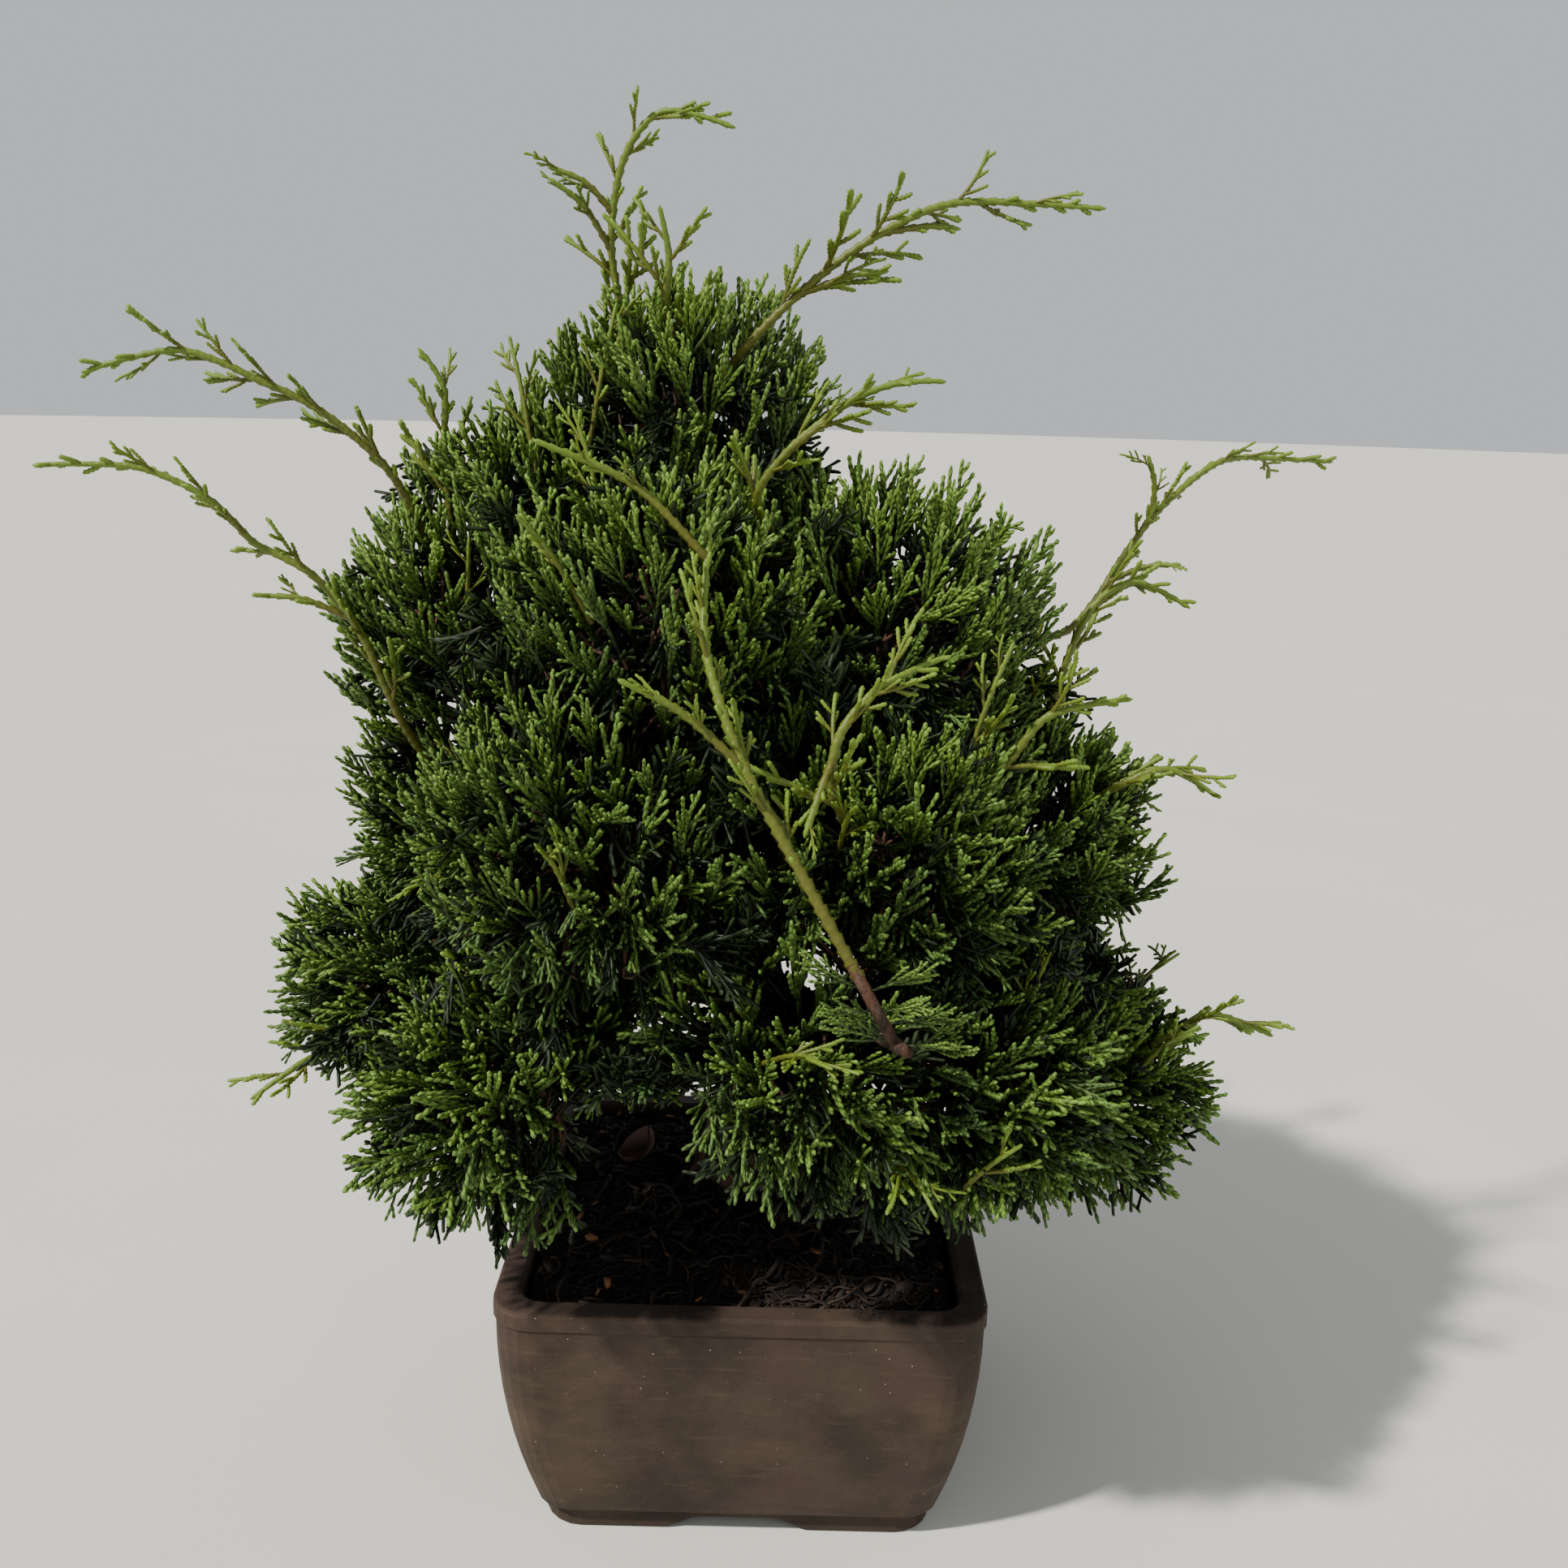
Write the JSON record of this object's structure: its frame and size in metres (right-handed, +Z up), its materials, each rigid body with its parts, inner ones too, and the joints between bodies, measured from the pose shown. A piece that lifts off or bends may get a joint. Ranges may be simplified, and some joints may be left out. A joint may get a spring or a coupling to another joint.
{
  "type": "juniper bonsai in a pot",
  "caption": "Small juniper tree with a dense domed crown and long free shoots, growing in soil in a square bellied clay pot that stands on a low arched foot.",
  "frame": {"origin": "on the surface the pot stands on, at the middle of the whole tree and pot seen from above, which is the middle of the pot to within 2 mm", "axes": "+X to the right of the pot's front, +Y from the front of the pot to its back, +Z up; -Z is the direction the foot rests in"},
  "size_m": [0.4471, 0.2945, 0.5009],
  "materials": {
    "clay": "matte",
    "mesh_plastic": "matte",
    "soil": "matte",
    "bark": "matte",
    "foliage": "matte",
    "fresh_shoot": "satin"
  },
  "bodies": {
    "root": {"pot": "clay", "drain_mesh": "mesh_plastic", "soil": "soil", "trunk": "bark", "branch_low_left": "bark", "branch_low_front_left": "bark", "branch_low_front": "bark", "branch_low_front_right": "bark", "branch_low_right": "bark", "branch_low_back_right": "bark", "branch_low_back_left": "bark", "branch_mid_left": "bark", "branch_mid_front_left": "bark", "branch_mid_front_right": "bark", "branch_mid_right": "bark", "branch_mid_back_right": "bark", "branch_mid_back_left": "bark", "branch_high_left": "bark", "branch_high_front": "bark", "branch_high_right": "bark", "branch_high_back": "bark", "branch_top_left": "bark", "foliage_low_left": "foliage", "foliage_low_front_left": "foliage", "foliage_low_front": "foliage", "foliage_low_front_right": "foliage", "foliage_low_right": "foliage", "foliage_low_back_right": "foliage", "foliage_low_back_left": "foliage", "foliage_mid_left": "foliage", "foliage_mid_front_left": "foliage", "foliage_mid_front_right": "foliage", "foliage_mid_right": "foliage", "foliage_mid_back_right": "foliage", "foliage_mid_back_left": "foliage", "foliage_high_left": "foliage", "foliage_high_front": "foliage", "foliage_high_right": "foliage", "foliage_high_back": "foliage", "foliage_top_left": "foliage", "foliage_apex": "foliage", "shoot_top": "fresh_shoot", "shoot_top_small": "fresh_shoot", "shoot_top_right": "fresh_shoot", "shoot_upper_right": "fresh_shoot", "shoot_far_left_up": "fresh_shoot", "shoot_far_left_low": "fresh_shoot", "shoot_left_small": "fresh_shoot", "shoot_right": "fresh_shoot", "shoot_right_mid": "fresh_shoot", "shoot_right_low": "fresh_shoot", "shoot_front": "fresh_shoot", "shoot_front_right": "fresh_shoot", "shoot_right_front": "fresh_shoot", "shoot_low_left": "fresh_shoot", "shoot_low_right": "fresh_shoot", "shoot_back_high": "fresh_shoot", "shoot_back_right": "fresh_shoot", "shoot_back_low": "fresh_shoot"}
  },
  "joints": []
}
